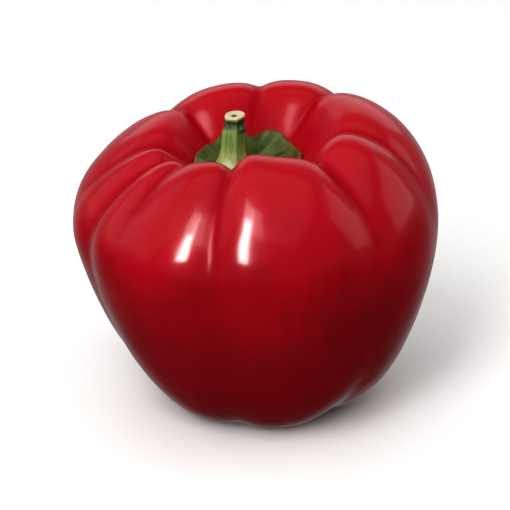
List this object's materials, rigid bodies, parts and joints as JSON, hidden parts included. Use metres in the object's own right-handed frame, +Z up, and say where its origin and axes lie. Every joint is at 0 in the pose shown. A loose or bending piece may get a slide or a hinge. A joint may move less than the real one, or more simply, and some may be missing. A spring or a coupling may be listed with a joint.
{
  "type": "bell pepper",
  "caption": "Ripe red bell pepper, squat and lobed, with a green calyx and a short cut stem in the hollow of its crown.",
  "frame": {"origin": "on the surface that the pepper stands on, under the middle of the fruit", "axes": "+Z up through the crown, -Y towards the front, where the deep front groove and the pale highlights face; +X towards the taller side of the crown"},
  "size_m": [0.0896, 0.0896, 0.0742],
  "materials": {
    "red_skin": "waxy, glossy ripe skin",
    "green_calyx": "leathery, slightly waxy dark green",
    "green_stem": "fibrous fresh green, with a pale dry cut end"
  },
  "bodies": {
    "root": {"fruit": "red_skin", "calyx": "green_calyx", "stem": "green_stem"}
  },
  "joints": []
}
